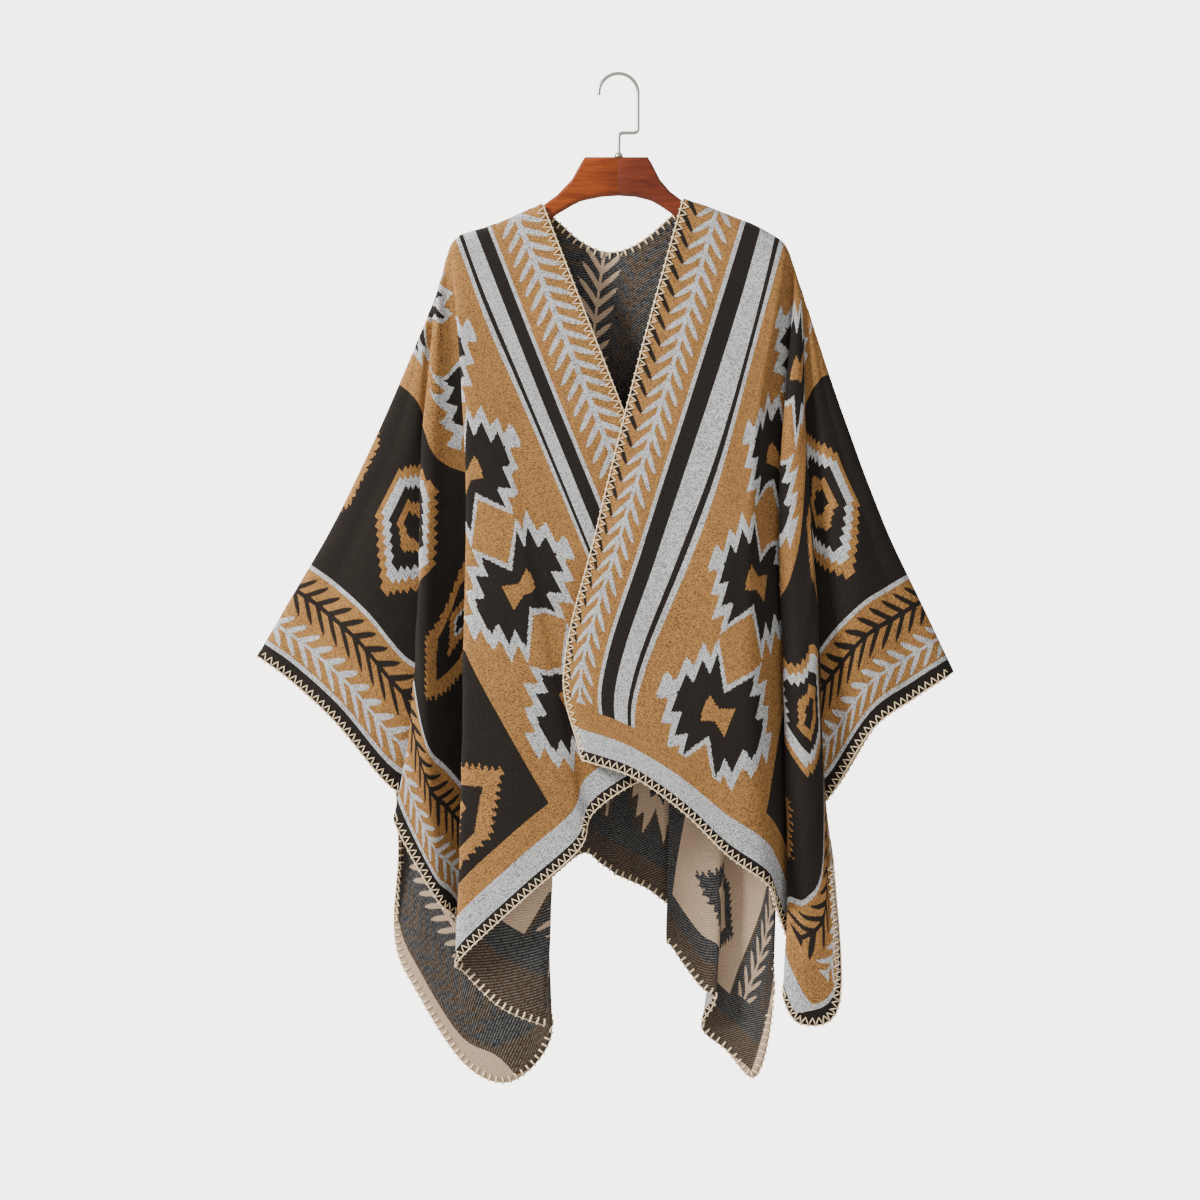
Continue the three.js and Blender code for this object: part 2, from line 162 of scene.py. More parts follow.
def lacquered_wood(name, light, dark):
    """Lacquered wood: long grain along X in two browns under a clear glossy coat."""
    wood = bpy.data.materials.new(name)
    wood.use_nodes = True
    nodes, links = wood.node_tree.nodes, wood.node_tree.links
    skin = nodes["Principled BSDF"]
    place = nodes.new("ShaderNodeTexCoord")
    stretch = nodes.new("ShaderNodeMapping")
    stretch.inputs["Scale"].default_value = (9, 70, 70)
    grain = nodes.new("ShaderNodeTexNoise")
    grain.inputs["Scale"].default_value = 2.2
    grain.inputs["Detail"].default_value = 6
    grain.inputs["Distortion"].default_value = 1.2
    tone = nodes.new("ShaderNodeValToRGB")
    tone.color_ramp.elements[0].position = 0.32
    tone.color_ramp.elements[0].color = dark
    tone.color_ramp.elements[1].position = 0.68
    tone.color_ramp.elements[1].color = light
    links.new(place.outputs["Object"], stretch.inputs["Vector"])
    links.new(stretch.outputs["Vector"], grain.inputs["Vector"])
    links.new(grain.outputs["Fac"], tone.inputs["Fac"])
    links.new(tone.outputs["Color"], skin.inputs["Base Color"])
    skin.inputs["Roughness"].default_value = 0.32
    skin.inputs["Coat Weight"].default_value = 0.1
    skin.inputs["Specular IOR Level"].default_value = 0.25
    skin.inputs["Coat Roughness"].default_value = 0.12
    return wood


for name, node, sections, wood, wood_slot in [
    (
        "hanger_half_left",
        "hanger_left",
        left_sections,
        lacquered_wood("lacquer_light", (0.264, 0.051, 0.008, 1), (0.143, 0.024, 0.004, 1)),
        "wood_light",
    ),
    (
        "hanger_half_right",
        "hanger_right",
        right_sections,
        lacquered_wood("lacquer_dark", (0.155, 0.028, 0.009, 1), (0.085, 0.0145, 0.005, 1)),
        "wood_dark",
    ),
]:
    corner_steps, narrow_flat = 8, 0.0004
    ring_size = 4 * (corner_steps + 1)
    points, faces = [], []
    for x, top, bottom, half in sections:
        radius = min(half, (top - bottom) / 2) - narrow_flat
        for side in range(4):
            right = 1 if side in (0, 3) else -1
            up = 1 if side < 2 else -1
            centre_y = right * (half - radius)
            centre_z = top - radius if up > 0 else bottom + radius
            for k in range(corner_steps + 1):
                angle = (side + k / corner_steps) * pi / 2
                points.append((x, centre_y + radius * cos(angle), centre_z + radius * sin(angle)))
    for s in range(len(sections) - 1):
        for k in range(ring_size):
            a, b = s * ring_size + k, s * ring_size + (k + 1) % ring_size
            faces.append((a, a + ring_size, b + ring_size, b))
    last_ring = (len(sections) - 1) * ring_size
    faces.append(list(range(ring_size)))
    faces.append(list(range(last_ring + ring_size - 1, last_ring - 1, -1)))
    mesh = bpy.data.meshes.new(name)
    mesh.from_pydata(points, [], faces)
    mesh.materials.append(wood)
    half_piece = bpy.data.objects.new(name, mesh)
    bpy.context.collection.objects.link(half_piece)
    select_only(half_piece)
    bpy.ops.object.mode_set(mode="EDIT")
    bpy.ops.mesh.select_all(action="SELECT")
    bpy.ops.mesh.normals_make_consistent(inside=False)
    bpy.ops.object.mode_set(mode="OBJECT")
    bpy.ops.object.shade_smooth_by_angle(angle=0.9)
    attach(half_piece, "root")
    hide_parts(node)

# Cloth: one piece of soft double-faced jacquard, 1.36 x 1.44 m and 2 mm thick, woven in tan, gray and
# black. It is slit up the centre front, cut out at the back neck and hung over the hanger in folds.

# a row is one fold line, as in the CAD source: its name, the shoulder at x and z, then x, y, x, y and x
# on the way down, and the end at x, z and y, in millimetres
# the last six numbers place it on the flat cloth: across and along it at the top, the middle and the
# end, in pattern units of 1.175 mm, counted from the centre and from the front hem
left_front = [
    ["slit_edge", -90, -152, -16, -20, 58, -26, 119, 157, -786, -28, 14, 14, 10, 585, 275, 0],
    ["neck_band", -137, -174, -71, -22, -4, -30, 51, 84, -811, -32, 50, 64, 84, 585, 275, 0],
    ["hem_shows", -167, -183, -111, -24, -53, -33, -6, 22, -831, -36, 82, 120, 169, 585, 275, 0],
    ["hem_dips", -180, -187, -136, -27, -91, -37, -53, -31, -868, -40, 97, 152, 235, 585, 273, 0],
    ["hem_turns", -186, -189, -144, -29, -103, -42, -68, -46, -908, -50, 103, 170, 265, 585, 272, 0],
    ["front_belly", -190, -193, -166, -32, -142, -47, -122, -110, -965, -56, 108, 207, 335, 585, 267, 0],
    ["fold1_edge", -194, -197, -178, -32, -177, -46, -179, -185, -1036, -54, 113, 243, 415, 585, 257, 0],
    ["fold1_back", -198, -203, -174, -25, -174, -36, -177, -179, -1052, -44, 117, 252, 435, 585, 257, 0],
    ["inner_layer", -200, -210, -145, -20, -124, -29, -129, -139, -1093, -36, 122, 300, 492, 585, 260, 0],
    ["fold2_edge", -203, -218, -112, -17, -84, -24, -86, -91, -1115, -28, 127, 335, 537, 585, 265, 0],
    ["fold2_back", -204, -222, -112, -10, -84, -15, -87, -93, -1110, -21, 130, 340, 542, 585, 267, 0],
    ["front_corner", -205, -227, -170, -7, -160, -9, -149, -139, -1080, -18, 134, 362, 577, 585, 320, 0],
    ["third_layer", -207, -235, -200, -14, -203, -24, -198, -189, -993, -32, 140, 354, 577, 585, 404, 150],
    ["bulge", -210, -244, -219, -24, -224, -40, -220, -212, -967, -46, 147, 362, 577, 585, 428, 200],
    ["fold3_edge", -213, -256, -230, -22, -233, -36, -243, -259, -882, -40, 156, 371, 577, 584, 452, 298],
    ["fold3_back", -216, -264, -225, -15, -229, -27, -239, -252, -873, -32, 161, 375, 577, 584, 456, 312],
    ["fold4_front", -218, -269, -205, -8, -192, -10, -200, -221, -858, -13, 166, 376, 577, 584, 462, 348],
    ["fold4_back", -220, -275, -205, -3, -192, -4, -200, -220, -850, -6, 171, 376, 577, 584, 464, 358],
    ["sleeve_inner", -223, -281, -229, -7, -237, -12, -251, -265, -840, -16, 177, 378, 577, 583, 470, 402],
    ["sleeve_crease", -225, -287, -243, -12, -278, -19, -310, -331, -763, -17, 184, 382, 577, 583, 512, 484],
    ["sleeve_low", -227, -293, -259, -9, -310, -13, -358, -387, -712, -9, 193, 384, 577, 583, 550, 545],
    ["ridge", -229, -297, -279, 0, -335, 0, -391, -425, -685, 0, 203, 387, 577, 583, 583, 583],
]
right_front = [
    ["slit_edge", 77, -146, 23, -26, -26, -40, -63, -42, -804, -46, 0, 0, 0, 562, 270, 0],
    ["leaf_band", 120, -162, 63, -30, 2, -46, -43, -30, -808, -54, 41, 39, 39, 562, 270, 0],
    ["stripe_band", 157, -176, 100, -32, 46, -49, 6, 21, -826, -58, 74, 82, 102, 561, 270, 0],
    ["star_inner", 180, -188, 133, -34, 96, -52, 69, 77, -866, -62, 97, 114, 180, 561, 262, 0],
    ["star_outer", 193, -197, 153, -35, 133, -54, 123, 126, -914, -64, 108, 154, 248, 561, 252, 0],
    ["fold1_edge", 198, -204, 163, -34, 157, -52, 163, 171, -947, -60, 114, 178, 290, 560, 246, 0],
    ["valley_side", 201, -210, 175, -21, 181, -30, 186, 184, -978, -34, 117, 213, 320, 560, 243, 0],
    ["valley_deep", 203, -216, 194, -9, 202, -11, 205, 200, -1019, -14, 119, 240, 362, 560, 247, 0],
    ["valley_turn", 205, -222, 204, -5, 218, -5, 223, 218, -1046, -6, 124, 256, 410, 560, 250, 0],
    ["valley_front", 207, -228, 206, -11, 219, -12, 224, 219, -1056, -14, 130, 264, 430, 560, 256, 0],
    ["strip_edge", 209, -234, 190, -20, 194, -29, 198, 193, -1077, -31, 140, 284, 548, 560, 262, 0],
    ["strip_corner", 211, -241, 199, -27, 210, -41, 218, 213, -1113, -42, 147, 306, 572, 560, 267, 10],
    ["strip_outer", 213, -248, 212, -27, 225, -41, 241, 258, -1087, -38, 155, 328, 577, 560, 280, 58],
    ["strip_right", 216, -255, 220, -20, 233, -30, 238, 247, -904, -32, 164, 350, 577, 560, 335, 250],
    ["fold3_hidden", 218, -262, 219, -12, 225, -18, 224, 227, -875, -20, 173, 384, 577, 560, 420, 318],
    ["sleeve_inner", 220, -269, 232, -10, 244, -15, 251, 251, -845, -16, 182, 402, 577, 560, 470, 380],
    ["sleeve_crease", 221, -274, 243, -13, 276, -20, 291, 297, -771, -18, 191, 394, 577, 560, 506, 456],
    ["sleeve_low", 223, -277, 253, -9, 299, -13, 335, 351, -732, -9, 200, 390, 577, 560, 536, 515],
    ["ridge", 224, -282, 267, 0, 315, 0, 365, 395, -704, 0, 209, 386, 577, 560, 560, 560],
]
back = [
    ["ridge_left", -229, -297, -279, 0, -335, 0, -391, -425, -685, 0, -203, -387, -577, 583, 583, 583],
    ["sleeve_low", -227, -293, -259, 9, -306, 13, -345, -374, -704, 10, -193, -386, -577, 583, 612, 640],
    ["sleeve_mid", -225, -287, -243, 13, -271, 28, -297, -315, -770, 32, -187, -388, -577, 583, 662, 731],
    ["sleeve_inner", -223, -281, -229, 9, -241, 14, -254, -268, -824, 16, -181, -388, -577, 584, 700, 803],
    ["side_hidden", -220, -274, -225, 15, -239, 26, -252, -260, -911, 32, -175, -380, -577, 584, 745, 891],
    ["side_shows", -217, -266, -219, 20, -231, 35, -250, -266, -1025, 44, -166, -370, -577, 584, 800, 1006],
    ["side_lower", -213, -256, -212, 22, -221, 34, -231, -238, -1089, 40, -158, -362, -577, 585, 835, 1077],
    ["corner_side", -210, -244, -203, 20, -196, 32, -191, -186, -1169, 40, -149, -355, -577, 585, 885, 1173],
    ["back_corner", -207, -235, -191, 22, -165, 34, -149, -138, -1195, 42, -142, -345, -577, 585, 900, 1228],
    ["corner_hem", -205, -227, -179, 26, -133, 39, -110, -99, -1173, 46, -136, -322, -535, 585, 900, 1228],
    ["fold_edge", -203, -219, -167, 29, -106, 43, -86, -79, -1132, 48, -130, -300, -482, 585, 900, 1228],
    ["fold_back", -201, -213, -168, 36, -116, 52, -100, -97, -1099, 57, -124, -282, -440, 585, 900, 1228],
    ["inner_turn", -199, -207, -178, 41, -166, 58, -163, -158, -1036, 63, -118, -230, -330, 585, 902, 1228],
    ["inner_behind", -197, -201, -174, 46, -165, 66, -162, -156, -1010, 71, -112, -212, -290, 585, 903, 1228],
    ["inner_return", -189, -192, -149, 44, -112, 67, -96, -85, -956, 71, -104, -150, -130, 585, 906, 1228],
    ["hem_left", -165, -183, -116, 36, -80, 56, -58, -43, -922, 60, -82, -60, 20, 586, 910, 1228],
    ["hem_left_mid", -130, -170, -83, 28, -50, 44, -31, -21, -934, 50, -58, -5, 105, 588, 914, 1228],
    ["shoulder_left", -101, -157, -64, 22, -35, 34, -18, -9, -941, 44, -44, 20, 122, 590, 916, 1228],
    ["neck_left", -90, -158, -52, 20, -28, 30, -12, -3, -946, 41, -40, 32, 130, 598, 918, 1228],
    ["neck_curve", -69, -174, -38, 20, -18, 30, -5, 5, -949, 39, -34, 42, 142, 608, 922, 1228],
    ["neck_low_left", -43, -196, -19, 22, -5, 32, 5, 16, -954, 40, -22, 58, 157, 616, 926, 1228],
    ["neck_low", -9, -208, 4, 25, 14, 36, 21, 29, -960, 44, 6, 86, 178, 618, 928, 1228],
    ["neck_low_right", 29, -194, 31, 22, 33, 33, 37, 42, -968, 43, 34, 116, 198, 610, 922, 1228],
    ["neck_right", 77, -153, 59, 20, 49, 32, 50, 55, -978, 43, 50, 142, 218, 580, 910, 1228],
    ["shoulder_right", 88, -150, 70, 22, 62, 35, 64, 68, -984, 45, 54, 154, 236, 566, 902, 1228],
    ["hidden_out", 122, -162, 100, 29, 120, 58, 130, 130, -1001, 66, 66, 178, 296, 562, 894, 1228],
    ["hidden_turn", 139, -169, 103, 24, 122, 50, 131, 131, -1006, 58, 72, 184, 306, 562, 892, 1228],
    ["fold5_edge", 153, -174, 96, 21, 75, 31, 65, 63, -1022, 38, 80, 200, 268, 562, 888, 1228],
    ["fold5_front", 162, -178, 99, 16, 78, 24, 68, 66, -1034, 30, 86, 208, 276, 562, 886, 1228],
    ["fold5_mid", 180, -188, 120, 16, 103, 21, 98, 97, -1077, 27, 96, 234, 312, 561, 880, 1228],
    ["fold5_right", 191, -195, 144, 16, 127, 22, 122, 116, -1094, 27, 105, 254, 336, 561, 880, 1228],
    ["valley_back", 197, -202, 155, 26, 136, 38, 122, 100, -1129, 44, 112, 280, 430, 561, 880, 1228],
    ["valley_out", 200, -209, 169, 27, 150, 40, 138, 129, -1156, 48, 118, 300, 500, 561, 880, 1228],
    ["right_corner", 204, -220, 184, 23, 171, 33, 169, 165, -1187, 42, 132, 330, 577, 560, 880, 1228],
    ["side_right", 209, -234, 197, 20, 188, 29, 187, 185, -1089, 38, 142, 345, 577, 560, 850, 1120],
    ["side_hidden_low", 212, -244, 206, 23, 201, 38, 192, 176, -978, 47, 152, 358, 577, 560, 790, 1000],
    ["side_hidden_up", 216, -255, 220, 25, 226, 40, 225, 217, -897, 46, 162, 368, 577, 560, 740, 890],
    ["curl_right", 218, -262, 232, 20, 251, 31, 258, 263, -838, 34, 173, 376, 577, 560, 690, 795],
    ["sleeve_mid_right", 220, -269, 244, 14, 281, 22, 298, 305, -768, 22, 184, 380, 577, 560, 640, 700],
    ["sleeve_low_right", 223, -277, 256, 9, 298, 13, 332, 347, -725, 10, 197, 384, 577, 560, 600, 625],
    ["ridge_right", 224, -282, 267, 0, 315, 0, 365, 395, -704, 0, 209, 386, 577, 560, 560, 560],
]
neck_depths = {
    "neck_left": 8.6,
    "neck_curve": 11,
    "neck_low_left": 13,
    "neck_low": 15,
    "neck_low_right": 12,
    "neck_right": 8.6,
}
station_at = [0, 0.3, 0.6, 0.85, 1]
shoulder_radius = 8
hang_start, hang_bend, near_end_share = 0.3, 0.6, 0.6


def catmull(a, b, c, d, t):
    """The Catmull-Rom value at t between b and c."""
    square, cube = t * t, t * t * t
    return 0.5 * (
        2 * b + (c - a) * t + (2 * a - 5 * b + 4 * c - d) * square + (3 * b - a - 3 * c + d) * cube
    )


def along_stations(values, t):
    """A smooth value through the stations of one fold line."""
    k = 0
    while k < 3 and t > station_at[k + 1]:
        k += 1
    span = station_at[k + 1] - station_at[k]
    local = (t - station_at[k]) / span

    def slope(i):
        low, high = max(i - 1, 0), min(i + 1, 4)
        return (values[high] - values[low]) / (station_at[high] - station_at[low])

    h = local * local * (3 - 2 * local)
    start = local * (1 - local) ** 2 * span * slope(k)
    end = -(local**2) * (1 - local) * span * slope(k + 1)
    return values[k] * (1 - h) + values[k + 1] * h + start + end


def fold_point(fold, t, side):
    """Where one fold line is at t, in mm, and its place on the flat cloth, in pattern units."""
    line, top_x, top_z, x1, y1, x2, y2, x3, end_x, end_z, end_y = fold[:11]
    across, along = fold[11:14], fold[14:17]
    z = top_z + (end_z - top_z) * t
    near_end = y2 + (end_y - y2) * near_end_share
    hang = (t / hang_start) ** hang_bend if t < hang_start else 1
    fall = top_z - z
    wrap = sqrt(1 - (1 - fall / shoulder_radius) ** 2) if fall < shoulder_radius else 1
    start_depth = neck_depths.get(line, side * shoulder_radius * wrap)
    y = 0
    if y1 != 0:
        y = start_depth * (1 - hang) + hang * along_stations([y1, y1, y2, near_end, end_y], t)
    flat = [
        p[0] * (1 - t) * (1 - 2 * t) + p[1] * 4 * t * (1 - t) + p[2] * t * (2 * t - 1)
        for p in (across, along)
    ]
    if fold in left_front:
        flat[0] = -flat[0]
    return [along_stations([top_x, x1, x2, x3, end_x], t), y, z, *flat]


even_rows = 96
row_places = [0, 0.002, 0.004, 0.008, 0.012, 0.02, 0.03]
row_places += [0.03 + 0.97 * k / even_rows for k in range(1, even_rows + 1)]
front_steps, back_steps, ridge_extra, ridge_round = 6, 5, 5, 2.4
sheets = []
for fold_rows, side, outline_sign, fold_steps in [
    (left_front, -1, 1, front_steps),
    (right_front, -1, -1, front_steps),
    (back, 1, 1, back_steps),
]:
    last = len(fold_rows) - 1
    column_places = []
    for i in range(last):
        is_ridge_start = fold_rows[i][4] == 0
        is_ridge_end = fold_rows[i + 1][4] == 0
        steps = fold_steps + ridge_extra if is_ridge_start or is_ridge_end else fold_steps
        column_places += [(i, k / steps) for k in range(steps)]
    column_places.append((last - 1, 1.0))
    samples = [[fold_point(fold, t, side) for t in row_places] for fold in fold_rows]
    grid = []
    for i, f in column_places:
        around = [max(i - 1, 0), i, i + 1, min(i + 2, last)]
        # the cloth is round where it folds over the ridge
        if fold_rows[i + 1][4] == 0:
            f = sin(f * pi / 2)
        if fold_rows[i][4] == 0:
            f = 1 - cos(f * pi / 2)
        column = []
        for j in range(len(row_places)):
            p = [samples[n][j] for n in around]
            place = [catmull(p[0][c], p[1][c], p[2][c], p[3][c], f) for c in range(5)]
            if fold_rows[i + 1][4] == 0:
                place[1] = p[1][1] * sqrt(max(0, 1 - f**ridge_round))
            if fold_rows[i][4] == 0:
                place[1] = p[2][1] * sqrt(max(0, 1 - (1 - f) ** ridge_round))
            column.append(place)
        grid.append(column)
    sheets.append((grid, side, outline_sign))

# fine creases that the hanging cloth has between its folds, about 1 mm high, and millimetres to metres
crease_height, ripple_height, shoulder_fade, ridge_fade = 1.1, 0.8, 0.12, 12
millimetre = 0.001
sheet_normals = []
for grid, side, outline_sign in sheets:
    across_count, down_count = len(grid), len(row_places)
    normals = []
    for i in range(across_count):
        normals.append([])
        for j in range(down_count):
            west, east = grid[max(i - 1, 0)][j], grid[min(i + 1, across_count - 1)][j]
            north, south = grid[i][max(j - 1, 0)], grid[i][min(j + 1, down_count - 1)]
            step = Vector(east[:3]) - Vector(west[:3])
            drop = Vector(south[:3]) - Vector(north[:3])
            normals[i].append(step.cross(drop).normalized() * outline_sign)
    for i in range(across_count):
        for j in range(down_count):
            place = grid[i][j]
            u, v = place[3], place[4]
            fade = min(1, row_places[j] / shoulder_fade) * min(1, abs(place[1]) / ridge_fade)
            crease = noise.noise(Vector((u * 0.035, v * 0.009, side * 7.3)))
            ripple = noise.noise(Vector((u * 0.02 + v * 0.012, v * 0.03, side * 3.1)))
            height = (crease_height * crease + ripple_height * ripple) * fade
            for c in range(3):
                place[c] = (place[c] + normals[i][j][c] * height) * millimetre
    sheet_normals.append(normals)

uv_units = 100
cloth_points, cloth_faces, cloth_flat = [], [], []
for grid, side, outline_sign in sheets:
    base = len(cloth_points)
    down_count = len(row_places)
    for column in grid:
        for place in column:
            cloth_points.append(place[:3])
            cloth_flat.append((place[3] / uv_units, place[4] / uv_units))
    for i in range(len(grid) - 1):
        for j in range(down_count - 1):
            a = base + i * down_count + j
            b = a + down_count
            corners = (a, b, b + 1, a + 1)
            cloth_faces.append(corners if outline_sign > 0 else corners[::-1])
cloth_mesh = bpy.data.meshes.new("poncho_cloth")
cloth_mesh.from_pydata(cloth_points, [], cloth_faces)
flat_layer = cloth_mesh.uv_layers.new(name="flat_cloth")
for loop in cloth_mesh.loops:
    flat_layer.data[loop.index].uv = cloth_flat[loop.vertex_index]
for face in cloth_mesh.polygons:
    face.use_smooth = True
cloth = bpy.data.objects.new("poncho_cloth", cloth_mesh)
bpy.context.collection.objects.link(cloth)


def jacquard(name, tan, gray, black, speck, is_reverse):
    """The woven pattern on the flat cloth: u across from the centre, v along from the front hem.

    A speck is its colour and how strongly it covers. The reverse shows the pattern in the other yarns.
    """
    weave = bpy.data.materials.new(name)
    weave.use_nodes = True
    nodes, links = weave.node_tree.nodes, weave.node_tree.links
    skin = nodes["Principled BSDF"]

    def maths(operation, *values):
        node = nodes.new("ShaderNodeMath")
        node.operation = operation
        for socket, value in zip(node.inputs, values):
            if isinstance(value, (int, float)):
                socket.default_value = value
            else:
                links.new(value, socket)
        return node.outputs[0]

    def add(*values):
        total = values[0]
        for value in values[1:]:
            total = maths("ADD", total, value)
        return total

    def both(*masks):
        total = masks[0]
        for mask in masks[1:]:
            total = maths("MULTIPLY", total, mask)
        return total

    def less(a, b):
        return maths("LESS_THAN", a, b)

    def more(a, b):
        return maths("GREATER_THAN", a, b)

    def either(*masks):
        total = masks[0]
        for mask in masks[1:]:
            total = maths("MAXIMUM", total, mask)
        return total

    def painted(under, over, mask):
        node = nodes.new("ShaderNodeMix")
        node.data_type = "RGBA"
        links.new(mask, node.inputs[0])
        for socket, value in ((node.inputs[6], under), (node.inputs[7], over)):
            if isinstance(value, tuple):
                socket.default_value = value
            else:
                links.new(value, socket)
        return node.outputs[2]

    def cells(value, size):
        whole = maths("FLOOR", maths("DIVIDE", value, size))
        return maths("MULTIPLY_ADD", whole, size, size / 2)

    def profile(value, points):
        """A piecewise straight outline: the height over value, from (value, height) points."""
        node = nodes.new("ShaderNodeFloatCurve")
        curve = node.mapping.curves[0]
        node.mapping.use_clip = False
        low, high = points[0][0], points[-1][0]
        tall = max(h for _, h in points)
        curve.points[0].location = (0, points[0][1] / tall)
        curve.points[1].location = (1, points[-1][1] / tall)
        for x, h in points[1:-1]:
            curve.points.new((x - low) / (high - low), h / tall)
        for point in curve.points:
            point.handle_type = "VECTOR"
        node.mapping.update()
        inside = maths("MULTIPLY_ADD", value, 1 / (high - low), -low / (high - low))
        links.new(maths("MINIMUM", maths("MAXIMUM", inside, 0.0), 1.0), node.inputs["Value"])
        return maths("MULTIPLY", node.outputs[0], tall)

    flat = nodes.new("ShaderNodeUVMap")
    flat.uv_map = "flat_cloth"
    split = nodes.new("ShaderNodeSeparateXYZ")
    links.new(flat.outputs["UV"], split.inputs[0])
    signed_u = maths("MULTIPLY", split.outputs["X"], uv_units)
    raw_v = maths("MULTIPLY", split.outputs["Y"], uv_units)
    grid_step, length = 1.5, 1228
    v = cells(raw_v, grid_step)
    u = cells(maths("ABSOLUTE", signed_u), grid_step)
    from_hem = maths("MINIMUM", v, maths("SUBTRACT", length, v))

    # bands across the cloth, from the centre to the side edge
    border_start, edge_start, ramp_width = 557, 562, 600
    bands = nodes.new("ShaderNodeValToRGB")
    band_starts = [
        (0, tan),
        (62, gray),
        (67, black),
        (84, gray),
        (100, black),
        (105, gray),
        (110, tan),
        (265, black),
        (469, gray),
        (474, tan),
        (border_start, gray),
        (edge_start, black),
    ]
    ramp = bands.color_ramp
    ramp.interpolation = "CONSTANT"
    ramp.elements[0].color = tan
    ramp.elements[1].position = band_starts[1][0] / ramp_width
    ramp.elements[1].color = gray
    for start, colour in band_starts[2:]:
        element = ramp.elements.new(start / ramp_width)
        element.color = colour
    links.new(maths("DIVIDE", u, ramp_width), bands.inputs["Fac"])
    colour = bands.outputs["Color"]

    # stars in the tan field, two fans of spikes with a gray outline and a tan middle
    first_row, row_step, star_centre, medallion_centre = 102, 128, 190, 365
    half_step = row_step / 2
    shifted_v = add(v, 2 * row_step - first_row + half_step)
    height = maths("ABSOLUTE", maths("SUBTRACT", maths("MODULO", shifted_v, row_step), half_step))
    star_u = maths("ABSOLUTE", maths("SUBTRACT", u, star_centre))
    body_outline = [(0, 20), (22, 51), (22.8, 29), (35, 38), (35.8, 14), (46, 20), (46.8, 0), (52, 0)]
    ring_outline = [(0, 28), (27, 63), (27.8, 43), (41, 53), (41.8, 29), (52, 33), (52.8, 8)]
    ring_outline += [(63, 14), (64, 0), (66, 0)]
    heart_outline = [(0, 6), (15, 13), (15.6, 0), (18, 0)]
    in_rows = more(from_hem, 34)
    ring = both(less(height, profile(star_u, ring_outline)), less(star_u, 66))
    body = both(less(height, profile(star_u, body_outline)), less(star_u, 52))
    heart = both(less(height, profile(star_u, heart_outline)), less(star_u, 18))
    colour = painted(colour, gray, both(ring, in_rows))
    colour = painted(colour, black, both(body, in_rows))
    colour = painted(colour, tan, heart)

    # medallions in the black field, in two kinds that take turns
    row_v = maths("SUBTRACT", maths("MODULO", shifted_v, 2 * row_step), half_step)
    is_stepped = more(row_v, half_step)
    local_v = maths("ABSOLUTE", maths("SUBTRACT", row_v, maths("MULTIPLY", is_stepped, row_step)))
    local_u = maths("ABSOLUTE", maths("SUBTRACT", u, medallion_centre))
    big_u, big_v = cells(local_u, 7), cells(local_v, 6)
    stepped = maths(
        "MAXIMUM",
        big_v,
        add(maths("MULTIPLY", big_u, 0.6), maths("MULTIPLY", big_v, 0.7)),
    )
    small_u, small_v = cells(local_u, 4), cells(local_v, 4)
    middle = maths(
        "MAXIMUM",
        small_v,
        add(maths("MULTIPLY", small_u, 0.75), maths("MULTIPLY", small_v, 0.62)),
    )
    stepped_tan = both(is_stepped, less(stepped, 50))
    stepped_gray = both(is_stepped, less(stepped, 41))
    stepped_dark = both(is_stepped, less(stepped, 32))
    stepped_inner = both(is_stepped, less(middle, 22))
    stepped_heart = both(is_stepped, less(middle, 11))
    is_pointed = maths("SUBTRACT", 1, is_stepped)
    slant = maths("SUBTRACT", local_u, maths("MULTIPLY", local_v, 0.8))
    teeth = maths("MULTIPLY", maths("PINGPONG", slant, 4.5), 1.2)
    pointed = maths(
        "MAXIMUM",
        maths("MULTIPLY", local_v, 1.15),
        add(maths("MULTIPLY", local_u, 0.6), maths("MULTIPLY", local_v, 0.62)),
    )
    toothed = add(pointed, teeth)
    inner = add(maths("MULTIPLY", small_u, 0.7), maths("MULTIPLY", small_v, 0.8))
    colour = painted(colour, tan, either(stepped_tan, both(is_pointed, less(toothed, 48))))
    colour = painted(colour, gray, stepped_gray)
    colour = painted(colour, black, either(stepped_dark, both(is_pointed, less(pointed, 31))))
    colour = painted(colour, tan, either(stepped_inner, both(is_pointed, less(inner, 20))))
    colour = painted(colour, gray, both(is_pointed, less(inner, 11)))
    colour = painted(colour, black, either(stepped_heart, both(is_pointed, less(inner, 7.5))))

    # leaves: a spine with slanted barbs, dark at the centre and beside the border, gray next to them
    leaf_pitch, leaf_middle, barb_half, stem_half, leaves_end = 17.5, 8.7, 3.9, 1.9, 56
    for spine, reach, leaf, where in [
        (0, 20, black, either(more(signed_u, 0), more(v, 600))),
        (37, 19, gray, 1.0),
        (500, 21, black, 1.0),
        (540, 17, gray, 1.0),
    ]:
        out = maths("ABSOLUTE", maths("SUBTRACT", u, spine))
        climb = add(raw_v, maths("MULTIPLY", maths("POWER", out, 0.9), 1.45))
        turn = maths("MODULO", add(climb, 10 * leaf_pitch), leaf_pitch)
        wave = maths("ABSOLUTE", maths("SUBTRACT", turn, leaf_middle))
        tip = maths("POWER", maths("DIVIDE", out, reach), 5)
        barb = less(add(wave, maths("MULTIPLY", tip, barb_half)), barb_half)
        stem = less(out, stem_half)
        shape = both(either(barb, stem), more(from_hem, leaves_end), where)
        colour = painted(colour, leaf, shape)

    # hems: tan and gray along both short ends, with a black edge that shows on the face alone
    tan_reach, gray_reach, edge_reach = 51, 30, -1 if is_reverse else 9
    colour = painted(colour, tan, both(less(from_hem, tan_reach), less(u, border_start)))
    colour = painted(colour, gray, both(less(from_hem, gray_reach), less(u, edge_start)))
    colour = painted(colour, black, less(from_hem, edge_reach))

